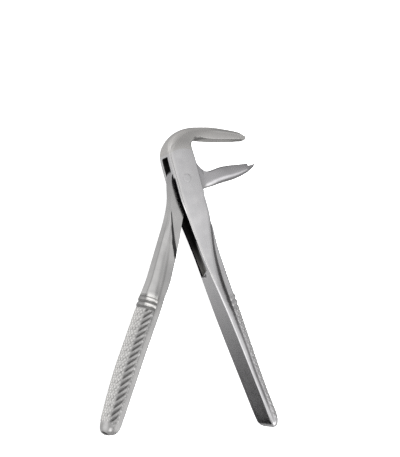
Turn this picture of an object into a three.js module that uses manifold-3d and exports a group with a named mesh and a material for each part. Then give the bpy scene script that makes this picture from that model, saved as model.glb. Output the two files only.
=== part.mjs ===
// Extraction forceps, English pattern, lower molar beaks, with a box joint.
//
// Two crossed steel arms turn on one flush rivet. The box arm carries the upper beak, a box of two
// cheeks with a slot between them, and the right handle. The tenon arm carries the lower beak, a
// thin tenon that passes through the slot, and the left handle. The forceps lie flat and stand
// part open. The hinge axis is Z, the beaks point to +X, the handles run to -Y, and the origin is
// on the hinge axis in the plane of the underside cheek. Millimetres.
import * as THREE from 'three';
import { mergeVertices } from 'three/addons/utils/BufferGeometryUtils.js';
import Module from 'manifold-3d';

// Driving dimensions.
const BOX_DEPTH = 12; // across both cheeks, along the hinge axis
const SLOT_DEPTH = 6; // between the cheeks
const RUNNING_GAP = 0.3; // between pieces that turn or rest on each other
const TENON_DEPTH = SLOT_DEPTH - 2 * RUNNING_GAP;
const PIN_RADIUS = 2.3;
const HANDLE_DEPTH = 14.8; // widest handle section, along the hinge axis
const EDGE = 0.6; // broken edge around the flat faces
const SLOT_TOP_RADIUS = 13.6; // round end wall of the slot, about the hinge axis
const SHOULDER_RADIUS = 12.6; // round shoulder where the arms grow deeper than the tenon
const CROWN_CLEARANCE = 15; // the tenon's upper rim stays thin out to this radius

const STEPS_PER_STATION = 2; // rings between two neighbouring stations of a loft
const CORNER_STEPS = 3; // points around each rounded corner of a section
const FLAT_STEPS = 2; // points on each half of a section's side

const HALF_BOX = BOX_DEPTH / 2;
const HALF_TENON = TENON_DEPTH / 2;
const BROKEN = [EDGE, EDGE];
const DEGREE = Math.PI / 180;

// ---------------------------------------------------------------- lofting

// Uniform Catmull-Rom curve through rows of numbers, for the outline points.
function throughPoints(rows, key, t) {
  const i = Math.min(Math.floor(t), rows.length - 2);
  const w = t - i;
  const at = (k) => rows[Math.max(0, Math.min(rows.length - 1, k))][key];
  const [a, b, c, d] = [at(i - 1), at(i), at(i + 1), at(i + 2)];
  return b.map((_, n) => 0.5 * (2 * b[n] + (c[n] - a[n]) * w
    + (2 * a[n] - 5 * b[n] + 4 * c[n] - d[n]) * w * w
    + (3 * b[n] - a[n] - 3 * c[n] + d[n]) * w * w * w));
}

// Monotone cubic through single numbers, so that equal neighbours give a truly flat stretch.
function throughValues(rows, key, t) {
  const i = Math.min(Math.floor(t), rows.length - 2);
  const w = t - i;
  const value = (k) => rows[k][key];
  const rise = (k) => (k < 0 || k > rows.length - 2 ? 0 : value(k + 1) - value(k));
  const tangent = (k) => {
    const product = rise(k - 1) * rise(k);
    return product > 0 ? (2 * product) / (rise(k - 1) + rise(k)) : 0;
  };
  const h00 = 2 * w ** 3 - 3 * w ** 2 + 1;
  const h10 = w ** 3 - 2 * w ** 2 + w;
  const h01 = -2 * w ** 3 + 3 * w ** 2;
  const h11 = w ** 3 - w ** 2;
  return h00 * value(i) + h10 * tangent(i) + h01 * value(i + 1) + h11 * tangent(i + 1);
}

// One station of a loft. left and right are where the section meets the mid plane, half is half
// the depth, and each side has the width and depth of its rounding. The dish hollows a side.
function station(left, right, half, leftRound, rightRound, leftDish = 0, rightDish = 0) {
  const [leftWide, leftDeep] = leftRound;
  const [rightWide, rightDeep] = rightRound;
  return { left, right, half, leftWide, leftDeep, rightWide, rightDeep, leftDish, rightDish };
}

// Points [inset, z] of one side of a section, from its lowest z to its highest.
function sideProfile(half, wide, deep, dish) {
  const upper = [];
  const flat = half - deep;
  for (let k = 1; k <= FLAT_STEPS; k += 1) {
    const share = k / FLAT_STEPS;
    upper.push([dish * (1 - share ** 2), flat * share]);
  }
  for (let k = 1; k <= CORNER_STEPS; k += 1) {
    const angle = (k / CORNER_STEPS) * (Math.PI / 2);
    upper.push([wide * (1 - Math.cos(angle)), flat + deep * Math.sin(angle)]);
  }
  const lower = upper.map(([inset, z]) => [inset, -z]).reverse();
  return [...lower, [dish, 0], ...upper];
}

function ringAt(rows, t) {
  const left = throughPoints(rows, 'left', t);
  const right = throughPoints(rows, 'right', t);
  const value = (key) => throughValues(rows, key, t);
  const width = Math.hypot(right[0] - left[0], right[1] - left[1]);
  const across = [(right[0] - left[0]) / width, (right[1] - left[1]) / width];
  const half = value('half');
  const near = sideProfile(half, value('leftWide'), Math.min(value('leftDeep'), half * 0.98),
    value('leftDish'));
  const far = sideProfile(half, value('rightWide'), Math.min(value('rightDeep'), half * 0.98),
    value('rightDish')).reverse();
  const place = (u, z) => [left[0] + across[0] * u, left[1] + across[1] * u, z];
  return [...near.map(([inset, z]) => place(inset, z)),
    ...far.map(([inset, z]) => place(width - inset, z))];
}

// A closed solid through all stations, capped at both ends.
function loft(rows) {
  const rings = [];
  const last = (rows.length - 1) * STEPS_PER_STATION;
  for (let k = 0; k <= last; k += 1) rings.push(ringAt(rows, k / STEPS_PER_STATION));
  const count = rings[0].length;
  const points = rings.flat();
  const triangles = [];
  for (let r = 0; r < rings.length - 1; r += 1) {
    for (let k = 0; k < count; k += 1) {
      const a = r * count + k;
      const b = r * count + ((k + 1) % count);
      triangles.push([a, b, b + count], [a, b + count, a + count]);
    }
  }
  [[0, true], [rings.length - 1, false]].forEach(([r, flip]) => {
    const centre = points.length;
    const sum = rings[r].reduce((s, p) => [s[0] + p[0], s[1] + p[1], s[2] + p[2]], [0, 0, 0]);
    points.push(sum.map((v) => v / count));
    for (let k = 0; k < count; k += 1) {
      const a = r * count + k;
      const b = r * count + ((k + 1) % count);
      triangles.push(flip ? [centre, b, a] : [centre, a, b]);
    }
  });
  const geometry = new THREE.BufferGeometry();
  geometry.setAttribute('position', new THREE.Float32BufferAttribute(points.flat(), 3));
  geometry.setIndex(triangles.flat());
  return geometry;
}

// ---------------------------------------------------------------- joining and cutting

const wasm = await Module();
wasm.setup();

function toSolid(geometry) {
  const bare = geometry.clone();
  bare.deleteAttribute('normal');
  bare.deleteAttribute('uv');
  const merged = mergeVertices(bare, 1e-4);
  return new wasm.Manifold(new wasm.Mesh({
    numProp: 3,
    vertProperties: new Float32Array(merged.attributes.position.array),
    triVerts: new Uint32Array(merged.index.array),
  }));
}

function toGeometry(solid) {
  const mesh = solid.getMesh();
  const geometry = new THREE.BufferGeometry();
  geometry.setAttribute('position', new THREE.BufferAttribute(mesh.vertProperties, 3));
  geometry.setIndex(new THREE.BufferAttribute(mesh.triVerts, 1));
  return geometry;
}

// A prism over an XY outline, from z = low to z = high.
function prism(outline, low, high) {
  const shape = new THREE.Shape(outline.map(([x, y]) => new THREE.Vector2(x, y)));
  const geometry = new THREE.ExtrudeGeometry(shape, { depth: high - low, bevelEnabled: false });
  geometry.translate(0, 0, low);
  return toSolid(geometry);
}

function roundBar(radius, length) {
  const geometry = new THREE.CylinderGeometry(radius, radius, length, 48);
  geometry.rotateX(Math.PI / 2);
  return geometry;
}

// Points on an arc about the hinge axis, from one angle to another in degrees.
function arc(radius, from, to, steps) {
  return Array.from({ length: steps + 1 }, (_, k) => {
    const angle = (from + ((to - from) * k) / steps) * DEGREE;
    return [radius * Math.cos(angle), radius * Math.sin(angle)];
  });
}

// ---------------------------------------------------------------- handles

// Stations of a handle from its rounded end to its root. The inner face runs straight from root
// along a direction in degrees. outward is +1 where the outer side is to the right of the inner
// one and -1 where it is to the left. Rows are distance, thickness, depth, and front margin.
function handleStations(root, direction, outward, rows) {
  const along = [Math.cos(direction * DEGREE), Math.sin(direction * DEGREE)];
  const out = [-along[1] * outward, along[0] * outward];
  const full = rows.find((row) => row.inset === undefined).thick;
  return rows.map(({ at, thick, deep, margin, inset = 0 }) => {
    const point = (u) => [root[0] + along[0] * at + out[0] * u, root[1] + along[1] * at + out[1] * u];
    const bulge = [Math.max(thick - margin - EDGE, 0.2), deep / 2];
    const plain = [Math.min(EDGE, thick / 4), Math.min(EDGE, thick / 4)];
    const inner = point(inset * full);
    const outer = point(inset * full + thick);
    return outward > 0
      ? station(inner, outer, deep / 2, plain, bulge)
      : station(outer, inner, deep / 2, bulge, plain);
  });
}

// The rounded free end that both handles share, ending at a distance from the handle's root.
function roundedEnd(length) {
  return [
    { at: length, thick: 1.6, deep: 5, margin: 0.3, inset: 0.38 },
    { at: length - 0.8, thick: 4.4, deep: 9.6, margin: 0.7, inset: 0.2 },
    { at: length - 2.6, thick: 6.5, deep: 12.8, margin: 1.2, inset: 0.06 },
    { at: length - 6, thick: 7.5, deep: HANDLE_DEPTH - 0.6, margin: 1.7 },
  ];
}

// ---------------------------------------------------------------- box arm

const boxHandle = handleStations([-3, -12], -64.9, 1, [
  ...roundedEnd(131),
  { at: 112, thick: 7.4, deep: HANDLE_DEPTH, margin: 1.8 },
  { at: 98, thick: 8, deep: HANDLE_DEPTH, margin: 1.9 },
  { at: 84, thick: 8.9, deep: HANDLE_DEPTH, margin: 2.4 },
  { at: 70, thick: 9.9, deep: 14.5, margin: 2.7 },
  { at: 60, thick: 10.6, deep: 13.7, margin: 3.2 },
  { at: 50, thick: 11.1, deep: 12.5, margin: 4 },
  { at: 40, thick: 11.7, deep: 11, margin: 5 },
  { at: 30, thick: 12.2, deep: 10, margin: 6.2 },
  { at: 20, thick: 12.9, deep: 10.2, margin: 8.6 },
  { at: 10, thick: 13.5, deep: 11.3, margin: 11.4 },
]);


const boxArmStations = [
  ...boxHandle,
  station([-3, -12], [9.8, -6], HALF_BOX, BROKEN, BROKEN),
  station([-5.5, -4.4], [8.1, -0.1], HALF_BOX, BROKEN, BROKEN),
  station([-8.3, 4], [5.5, 8.3], HALF_BOX, BROKEN, BROKEN),
  station([-10.2, 10.5], [3.2, 14.2], HALF_BOX, BROKEN, BROKEN),
  station([-10.6, 14.5], [2.6, 17], HALF_BOX, [1.5, 1.5], [1.2, 1.2]),
  station([-9.5, 18.3], [3, 19.2], 5.8, [3, 3], [1.6, 1.6]),
  station([-6.5, 22.6], [4.1, 21], 5.4, [3.8, 4.2], [1.6, 1.6]),
  station([-2, 26.2], [5.8, 22.4], 5, [3.5, 4.4], [1.2, 1.2]),
  station([4, 28.6], [8.2, 23.2], 4.6, [3, 4.4], [0.9, 0.9]),
  station([11, 29.9], [12.2, 23.4], 4.3, [3.2, 4.2], [0.6, 0.6], 0, 0.8),
  station([18, 30.7], [18, 23.8], 4.2, [3.2, 4.1], [0.5, 0.5], 0, 1.3),
  station([25, 30.8], [24, 24.5], 4.2, [3, 4.1], [0.5, 0.5], 0, 1.3),
  station([31, 30.3], [30, 25.3], 4.1, [2.4, 3.9], [0.4, 0.4], 0, 1.1),
  station([34.8, 29.5], [34.4, 26.1], 3.9, [1.6, 3.7], [0.3, 0.3], 0, 0.6),
  station([35.9, 29.3], [35.6, 26.3], 2.3, [1.4, 2.1], [0.4, 0.4], 0, 0.2),
  station([38.6, 28.8], [38.2, 26.8], 1.3, [0.8, 1.2], [0.3, 0.4]),
  station([40.2, 28.3], [40, 27.7], 0.5, [0.15, 0.4], [0.1, 0.1]),
];

// The slot right through the box, with the pocket in the shank that takes the tenon when closed.
const slotOutline = [
  ...arc(SLOT_TOP_RADIUS, 35, 165, 20),
  [-22, 0],
  [-22, -47.6],
  [13.6, -47.6],
  [15.3, -45.4],
  [10.4, -34],
  [7.6, -22],
  [7.6, -11],
  [10, -7.4],
  [18, -6.8],
];

function boxArm() {
  const slot = prism(slotOutline, -SLOT_DEPTH / 2, SLOT_DEPTH / 2);
  const hole = toSolid(roundBar(PIN_RADIUS + RUNNING_GAP, 2 * BOX_DEPTH));
  return toGeometry(toSolid(loft(boxArmStations)).subtract(slot).subtract(hole));
}

// ---------------------------------------------------------------- tenon arm

const tenonHandle = handleStations([-13.6, -64], -110.5, -1, [
  ...roundedEnd(71),
  { at: 54, thick: 8.6, deep: HANDLE_DEPTH, margin: 1.8 },
  { at: 40, thick: 9.5, deep: HANDLE_DEPTH, margin: 2 },
  { at: 26, thick: 9.5, deep: HANDLE_DEPTH, margin: 2.3 },
  { at: 12, thick: 9.4, deep: 14.5, margin: 2.5 },
  { at: 0, thick: 9.6, deep: 13.4, margin: 3 },
]);

const tenonArmStations = [
  ...tenonHandle,
  station([-19.3, -53.7], [-8.9, -55.6], 6, [5.6, 5.8], BROKEN),
  station([-15.8, -43.3], [-6.2, -45.6], 5.1, [4.6, 4.6], BROKEN),
  station([-12.5, -32.7], [-2.9, -34], 4.4, [3, 3.6], BROKEN),
  station([-9.8, -22], [-0.9, -22.6], 3.7, [1.4, 1.8], BROKEN),
  station([-7.8, -12.5], [1.7, -13.6], 3.2, BROKEN, BROKEN),
  station([-8.2, -4.5], [5, -9], 3.2, BROKEN, BROKEN),
  station([-8.8, 2.5], [9, -6.4], 3, BROKEN, BROKEN),
  station([-6, 9.5], [11.6, -4.3], HALF_TENON, BROKEN, [1, 1]),
  station([0.5, 12.9], [13.6, -3.1], HALF_TENON, BROKEN, [1.3, 1.3]),
  station([5.8, 11.6], [15.4, -2.3], HALF_TENON, BROKEN, [1.6, 1.6]),
  station([9.4, 7.7], [17.6, -1.4], 2.9, BROKEN, [2, 2]),
  station([13.4, 5.4], [20.4, -0.2], 3.4, BROKEN, [2.5, 2.8]),
  station([17, 6.9], [23.6, 1.2], 3.9, BROKEN, [3, 3.7], 0.4),
  station([22.5, 9.2], [28, 3], 4.2, BROKEN, [3.2, 4.1], 1.2),
  station([28.6, 10.6], [33, 5.1], 4.2, BROKEN, [3, 4.1], 1.3),
  station([34.5, 11.8], [37, 7.2], 4.1, BROKEN, [2.4, 3.9], 1.1),
  station([38.2, 12.6], [40, 9.2], 3.9, [0.3, 0.3], [1.6, 3.7], 0.6),
  station([39.4, 12.7], [41, 9.9], 2.3, [0.4, 0.4], [1.4, 2.1], 0.2),
  station([42.6, 13.5], [43.6, 11.7], 1.3, [0.3, 0.4], [0.8, 1.2]),
  station([46.2, 14.7], [46.4, 14.2], 0.5, [0.1, 0.1], [0.15, 0.4]),
];

// Where the tenon is milled thin on both faces: round the pivot, and down the inner edge of the
// shank as far as the cheeks reach when the forceps close.
const reliefOutline = [
  ...arc(SHOULDER_RADIUS, -40, 42, 12),
  ...arc(CROWN_CLEARANCE, 55, 170, 16),
  ...arc(SHOULDER_RADIUS, 190, 226, 6),
  [-8.6, -17.6],
  [-8.3, -23],
  [-7.5, -32.8],
  [-6.3, -42],
  [-5, -50],
  [14, -50],
];

function tenonArm() {
  const front = prism(reliefOutline, HALF_TENON, BOX_DEPTH);
  const back = prism(reliefOutline, -BOX_DEPTH, -HALF_TENON);
  const hole = toSolid(roundBar(PIN_RADIUS + RUNNING_GAP, 2 * BOX_DEPTH));
  const whole = toSolid(loft(tenonArmStations));
  return toGeometry(whole.subtract(front).subtract(back).subtract(hole));
}

// ---------------------------------------------------------------- assembly

const satinSteel = { color: 0xa8a8a6, roughness: 0.38, metalness: 1 };
const forceps = new THREE.Group();

function add(name, geometry, finish) {
  const mesh = new THREE.Mesh(geometry, new THREE.MeshStandardMaterial(finish));
  mesh.name = name;
  mesh.position.z = HALF_BOX;
  forceps.add(mesh);
}

add('box_arm', boxArm(), satinSteel);
add('tenon_arm', tenonArm(), satinSteel);
add('pivot_pin', roundBar(PIN_RADIUS, BOX_DEPTH), { color: 0xb2b2b0, roughness: 0.32, metalness: 1 });

export default forceps;
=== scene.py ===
import math
from collections import namedtuple

import bpy
import numpy as np
from mathutils import Matrix, Vector

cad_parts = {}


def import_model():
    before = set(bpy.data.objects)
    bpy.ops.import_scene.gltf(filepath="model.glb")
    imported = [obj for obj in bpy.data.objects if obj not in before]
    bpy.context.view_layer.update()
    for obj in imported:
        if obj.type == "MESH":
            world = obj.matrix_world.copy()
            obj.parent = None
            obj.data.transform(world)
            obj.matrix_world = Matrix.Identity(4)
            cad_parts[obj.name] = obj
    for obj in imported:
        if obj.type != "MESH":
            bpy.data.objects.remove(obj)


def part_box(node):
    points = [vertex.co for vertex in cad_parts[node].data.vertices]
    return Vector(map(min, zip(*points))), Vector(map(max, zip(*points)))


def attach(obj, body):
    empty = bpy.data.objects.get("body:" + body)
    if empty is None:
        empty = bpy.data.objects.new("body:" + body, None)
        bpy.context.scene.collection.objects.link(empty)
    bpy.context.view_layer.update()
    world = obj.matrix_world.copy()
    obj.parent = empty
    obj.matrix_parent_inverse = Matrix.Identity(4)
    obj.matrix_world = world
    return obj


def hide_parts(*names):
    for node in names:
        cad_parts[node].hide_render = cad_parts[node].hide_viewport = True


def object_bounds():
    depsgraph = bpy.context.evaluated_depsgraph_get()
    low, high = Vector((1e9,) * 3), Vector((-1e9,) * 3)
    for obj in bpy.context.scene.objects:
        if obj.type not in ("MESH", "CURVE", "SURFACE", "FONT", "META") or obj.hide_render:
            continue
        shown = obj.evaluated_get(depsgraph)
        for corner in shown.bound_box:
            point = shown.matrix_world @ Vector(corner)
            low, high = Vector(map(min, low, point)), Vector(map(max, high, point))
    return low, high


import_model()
cad_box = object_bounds()

# Extraction forceps: two finely lofted steel arms with knurled handles, and a flush rivet.
# Shapes are worked out in millimetres about the hinge axis, with z = 0 in the middle of the depth.
# placed() puts them in the CAD frame, which is in metres. The box arm's outer side, which has the
# knurl, is its right one, and the tenon arm's is its left one.

# ---------------------------------------------------------------- driving dimensions

MM = 0.001
pin_low, pin_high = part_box("pivot_pin")
MID_PLANE = (pin_low.z + pin_high.z) / 2
HALF_BOX = (pin_high.z - pin_low.z) / 2 / MM
PIN_RADIUS = (pin_high.x - pin_low.x) / 2 / MM

HALF_SLOT = 3.0  # from the mid plane to the inner face of a cheek
HALF_TENON = 2.7
EDGE = 0.6  # broken edge round the flat faces
HAIRLINE = 0.012  # between the rivet and the cheek it is pressed into
TENON_HOLE = PIN_RADIUS + 0.3
SLOT_TOP_RADIUS = 13.6
SHOULDER_RADIUS = 12.6
CROWN_CLEARANCE = 15.0
CHEEK_TOP_RADIUS = 15.6  # the flat ground cheek ends in an arch about the hinge axis

# The broad faces.
CROWN = 0.22  # how much lower a broad face is at its edges than in its middle
CROWN_REACH = 7  # half the width of a face that has the whole crown
VALLEY_WIDTH = 3.7  # the shank's face rolls down over this, times the sink, beside the bulge
VALLEY_SINKS = (0.3, 1.2)  # the least and greatest sink that the valley's width follows
VALLEY_CURVE = 1.3
BOX_RISE = 0.25  # the bulge climbs out of the valley over this distance
TENON_RISE, SHANK_RISE = 1.6, 2.8  # its rise on the tenon arm's handle, and what the shank adds
SHANK_START, SHANK_FADE = 4, 10
FACE_BAND = 0.8  # the crown and the sink fade out below the face, but not within this of it

# The rounded and bevelled sides.
LEAST_ROUND = 0.2  # no rounding of a bulge is narrower
DEEPEST_ROUND = 0.98  # of the half depth
BEVEL_WIDTH, BEVEL_FADE = 1.3, 0.7  # narrower roundings are flat bevels
FACET_SHARE = 0.3  # of the section points round the rounding, those on its outer facet
ARRIS_INSET, ARRIS_SHARE = 1.6, 0.55  # where the shank's outer facet meets its rounded front
FRONT_CURVE = 1.3  # how round that front is
NOTCH_DEPTH, NOTCH_SHARE, NOTCH_SPAN = 0.2, 0.72, 0.16  # the fine line along the cheeks' bevel
NOTCH_TOP, NOTCH_TOP_FADE = -28.5, 3  # where it begins, from the box arm's root
NOTCH_END, NOTCH_END_FADE = 52, 12

# The handles' surface.
BEAD_HEIGHT, BEAD_HALF_WIDTH = 0.5, 1.0
BEAD_EDGE = 0.6  # the beads run out over this at the margin
FLARE_LENGTH, FLARE_HEIGHT, FLARE_CURVE = 3.2, 0.32, 2.2  # the shank swells before the first bead
FLARE_GAP = 0.1
KNURL_STAND = 0.35  # how far the knurl stands above the plain shank
KNURL_ANGLE = math.radians(40)  # between a groove and the handle's length
KNURL_MARGIN = 1.2  # over this width the grooves run out into the plain margin
KNURL_START_FADE, KNURL_END_FADE = 0.6, 2.5
COARSE_DEPTH, COARSE_WIDTH = 0.85, 2.1  # the main grooves, which are cut in from the margin
COARSE_FADE, COARSE_MARGIN = 0.12, 2.2  # where they run out, as a share of the rounding and in mm
HATCH_DEPTH, HATCH_WIDTH, HATCH_SPACING = 0.48, 1.15, 1.6  # the fine crossed grooves
HATCH_LOST = 0.8  # share of the hatching that the main grooves take away
HATCH_KEPT, HATCH_WEAR = 0.8, 0.3  # how much of its depth is left, and how unevenly
WEAR_WAVES = ((0.9, 1.9), (-0.7, 1.3))  # two waves of wear, each along the handle and round it

# Painted light, each from 0 to 1: painted highlights, painted shade in creases and grooves, and painted
# shade on the walls beside the slot.
SIDE_HIGHLIGHT = 0.25  # how much of the beads' painted highlight is left behind the arris
HIGHLIGHT_START, HIGHLIGHT_FADE = 0.36, 0.1  # the arris, as a share of the rounding
FLARE_HIGHLIGHT = 2.2
BEVEL_HIGHLIGHT = 0.4
# Painted shade in the knurl's grooves, around the beads, at the bulge's foot, in the valley, along the
# notch and along the arris.
HATCH_PAINTED_SHADE = 0.75
BAND_PAINTED_SHADE, HIGHLIGHT_BAND_PAINTED_SHADE = 0.15, 0.6  # painted shade between the beads, and what beads with a painted highlight add
BAND_START, BAND_FADE = 2.6, 0.4  # before the first bead
FOOT_PAINTED_SHADE, FOOT_INSET, FOOT_SPREAD = 0.35, 0.35, 0.55  # painted shade at the foot of the tenon arm's bulge
VALLEY_PAINTED_SHADE, VALLEY_FULL_SINK = 0.75, 0.8
NOTCH_PAINTED_SHADE, NOTCH_SPREAD = 0.75, 0.9  # spreads are in section points
ARRIS_PAINTED_SHADE, ARRIS_SPREAD = 0.4, 1.2
SLOT_SHADE_TOP, SLOT_SHADE_TAPER = -14.3, 3.2  # painted shade on the walls beside the slot; in front it starts as a point, from the box arm's root
SLOT_SHADE_END, SLOT_SHADE_FADE = 34, 12
BACK_SLOT_SHADE = (8, 12, 42, 44)  # behind, where it starts, is full, begins to fade and ends
ON_SIDE = 0.02  # points nearer to the section's side than this lie on it
TOUCH = 0.05  # heights nearer than this count as the same
LIP_REACH = 0.45  # how far a lip of the slot looks for the painted shade of its wall

# How finely the meshes are made.
OUTER_STEPS = 34  # section points round a quarter of the outer side
INNER_STEPS = 9
FLAT_STEPS = 3
FACE_STEPS = 16
FACE_CROWDING = 1.8  # how much the face's points crowd towards the outer side
ROUND_STEPS = 96  # round the rivet and its holes
NOTCH_COLUMN = FLAT_STEPS + NOTCH_SHARE * INNER_STEPS
ARRIS_COLUMN = FLAT_STEPS + FACET_SHARE * OUTER_STEPS
SAMPLE = 0.1  # first sampling of a loft along its length
SAMPLES_PER_STATION = 80
BLUR = 1.4  # smooths a loft along its length, except near its two ends
END_KEPT, END_FADE = 7, 5
TIP_KEPT, TIP_FADE = 12, 8
PLAIN_RINGS, END_RINGS, KNURL_RINGS, BEAD_RINGS = 0.7, 0.3, 0.215, 0.15  # spacing of the rings
BEAK_RINGS, TIP_RINGS = 0.42, 0.2
BEAK_LENGTH, TIP_LENGTH = 42, 9
BEAD_REACH = 1.6  # the beads' ring spacing goes this far beyond them
SHARP_ANGLE = 32


def smooth(x):
    x = np.clip(x, 0, 1)
    return x * x * (3 - 2 * x)


# ---------------------------------------------------------------- stations

LEFT, RIGHT = slice(0, 2), slice(2, 4)
HALF, LEFT_WIDE, LEFT_DEEP, RIGHT_WIDE, RIGHT_DEEP, LEFT_DISH, RIGHT_DISH, SINK, ARRIS = range(4, 13)
BROKEN = (EDGE, EDGE)


def station(left, right, half, left_round, right_round, left_dish=0, right_dish=0, sink=0, arris=0):
    """One section of a loft: its two mid-plane points, half depth, and the rounding of each side
    as its width and depth. dish is how hollow a side is, sink is how deep the face lies beside
    the bulge, and arris is 1 where the bulge has a facet."""
    return [*left, *right, half, *left_round, *right_round, left_dish, right_dish, sink, arris]


def handle_stations(root, direction, outward, bevel, rows):
    """Stations whose inner face runs straight from root. A row is distance along, thickness,
    depth, front margin, inset at the rounded end, sink, and optionally arris."""
    along = np.array([math.cos(math.radians(direction)), math.sin(math.radians(direction))])
    out = np.array([-along[1], along[0]]) * outward
    full = next(row[1] for row in rows if row[4] == 0)
    made = []
    for at, thick, deep, margin, inset, sink, *arris in rows:
        inner = np.array(root) + along * at + out * inset * full
        outer = inner + out * thick
        bulge = (max(thick - margin - EDGE, LEAST_ROUND), deep / 2)
        plain = (min(bevel, thick / 4),) * 2
        sides = (inner, outer, deep / 2, plain, bulge) if outward > 0 else (
            outer, inner, deep / 2, bulge, plain)
        made.append(station(*sides, sink=sink, arris=arris[0] if arris else 0))
    return made


def rounded_end(length):
    return [(length, 1.6, 5, 0.3, 0.38, 0), (length - 0.8, 4.4, 9.6, 0.7, 0.2, 0),
            (length - 2.6, 6.5, 12.8, 1.2, 0.06, 0), (length - 6, 7.5, 14.2, 1.7, 0, 0.1)]


BOX_ROOT, BOX_DIRECTION = (-3.05, -12), -64.7
BOX_BEVEL = (1.1, 0.6)  # the wide ground bevel along the inner edges of the cheeks
BOX_ARM = handle_stations(BOX_ROOT, BOX_DIRECTION, 1, 0.5, [
    *rounded_end(131),
    (112, 7.4, 14.8, 1.8, 0, 0.45), (98, 8, 14.8, 1.9, 0, 0.45), (84, 8.9, 14.8, 2.6, 0, 0.45),
    (70, 9.9, 14.5, 3, 0, 0.6), (60, 10.6, 13.7, 3.7, 0, 0.9), (50, 11.2, 12.5, 4.4, 0, 1.2),
    (40, 11.9, 11, 5.8, 0, 0.9), (30, 12.6, 10, 8, 0, 0.7), (20, 13.6, 10.2, 10.9, 0, 0.6),
    (10, 14.3, 11.3, 13, 0, 0.3),
]) + [
    station((-3.05, -12), (10.8, -5.7), HALF_BOX, BOX_BEVEL, (0.9, 0.8)),
    station((-5.5, -4.4), (8.9, 0.1), HALF_BOX, BOX_BEVEL, (0.9, 0.8)),
    station((-8.3, 4), (6.4, 8.5), HALF_BOX, BOX_BEVEL, (0.9, 0.8)),
    station((-10.2, 10.5), (4.4, 14.5), HALF_BOX, BOX_BEVEL, (1, 0.9)),
    station((-10.6, 14.5), (3.5, 17.2), HALF_BOX, (1.5, 1.5), (1.2, 1.2)),
    station((-9.7, 18.5), (3.5, 19.3), 5.8, (4.4, 3), (1.6, 1.6)),
    station((-6.8, 22.9), (4.4, 21), 5.4, (5.6, 4.2), (1.6, 1.6)),
    station((-2.3, 26.5), (6, 22.4), 5, (5.2, 4.4), (1.2, 1.2)),
    station((3.9, 28.9), (8.2, 23.2), 4.6, (4.2, 4.4), (0.9, 0.9)),
    station((11, 30.2), (12.2, 23.4), 4.3, (3.4, 4.2), (0.25, 0.25), right_dish=0.9),
    station((18, 31), (18, 23.8), 4.2, (3.2, 4.1), (0.2, 0.2), right_dish=1.4),
    station((25, 31.1), (24, 24.5), 4.2, (3, 4.1), (0.2, 0.2), right_dish=1.4),
    station((31, 30.9), (30, 25.3), 4.1, (2.6, 3.9), (0.2, 0.2), right_dish=1.1),
    station((34.8, 30.6), (34.2, 25.9), 3.9, (2.4, 3.7), (0.2, 0.2), right_dish=0.6),
    station((36.2, 30.2), (36, 26.2), 3.2, (2, 3), (0.3, 0.3), right_dish=0.2),
    station((38, 29.8), (37.9, 26.3), 2.9, (1.5, 2.6), (0.5, 0.8)),
    station((39.4, 29.2), (39.3, 26.8), 2.1, (0.8, 1.8), (0.5, 1)),
    station((40.2, 28.4), (40.1, 27.6), 0.9, (0.15, 0.6), (0.1, 0.3)),
]

TENON_ROOT, TENON_DIRECTION = (-13.4, -64), -110.2
TENON_ARM = handle_stations(TENON_ROOT, TENON_DIRECTION, -1, EDGE, [
    *rounded_end(71),
    (54, 8.6, 14.8, 1.8, 0, 0.3), (40, 9.5, 14.8, 2, 0, 0.3), (26, 9.5, 14.8, 2.3, 0, 0.35),
    (12, 9.9, 14.5, 2.5, -0.05, 0.5), (3, 10.3, 13.9, 2.8, -0.09, 0.8),
    (-1.5, 11.1, 13.2, 3.1, -0.1, 1, 0.8),
]) + [
    station((-20.4, -53.5), (-8.8, -55.4), 6, (7.2, 5.9), BROKEN, sink=1.1, arris=1),
    station((-17.1, -43.1), (-5.9, -45.4), 5.1, (6.6, 5), BROKEN, sink=1, arris=1),
    station((-13.8, -32.5), (-2.9, -34), 4.4, (4.6, 4.2), BROKEN, sink=0.4, arris=1),
    station((-10.4, -21.9), (-0.9, -22.6), 3.7, (2.4, 2.6), BROKEN, arris=0.6),
    station((-7.6, -12.5), (1.7, -13.6), 3.2, BROKEN, BROKEN),
    station((-7.8, -4.5), (5, -9), 3.2, BROKEN, BROKEN),
    station((-7.6, 2.5), (9, -6.4), 3, BROKEN, BROKEN),
    station((-4.3, 8.8), (11.6, -4.3), HALF_TENON, BROKEN, (2.2, 1.4)),
    station((0.8, 12.3), (13.6, -3.3), HALF_TENON, BROKEN, (3.6, 2.2)),
    station((5.8, 11.6), (15.4, -2.5), HALF_TENON, BROKEN, (4.6, 2.4)),
    station((9.4, 7.7), (17.6, -1.8), 2.9, BROKEN, (5.4, 2.7)),
    station((13.4, 5.4), (20.4, -0.7), 3.4, BROKEN, (5.6, 3.2)),
    station((17, 6.9), (23.6, 0.7), 3.9, BROKEN, (5.4, 3.8), left_dish=0.4),
    station((22.5, 9.2), (28, 2.3), 4.2, BROKEN, (4.9, 4.1), left_dish=1.2),
    station((28.6, 10.7), (33, 4.2), 4.2, (0.4, 0.4), (4.4, 4.1), left_dish=1.3),
    station((34.5, 11.9), (37.2, 6.3), 4.1, (0.3, 0.3), (3.6, 3.9), left_dish=1.1),
    station((38.2, 12.8), (40.3, 8.2), 3.9, (0.2, 0.2), (2.6, 3.7), left_dish=0.7),
    station((39.2, 13), (41.2, 8.7), 3.5, (0.2, 0.2), (2.2, 3.3), left_dish=0.4),
    station((40.4, 12.3), (42, 9.4), 2.4, (0.3, 0.3), (1.6, 2.2), left_dish=0.2),
    station((42.6, 12.9), (43.7, 10.7), 1.9, (0.3, 0.4), (1.2, 1.7)),
    station((44.8, 13.8), (45.3, 12.2), 1.2, (0.3, 0.4), (0.7, 1)),
    station((46.3, 14.4), (46.5, 13.9), 0.5, (0.1, 0.1), (0.15, 0.4)),
]


# ---------------------------------------------------------------- sampling a loft

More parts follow.
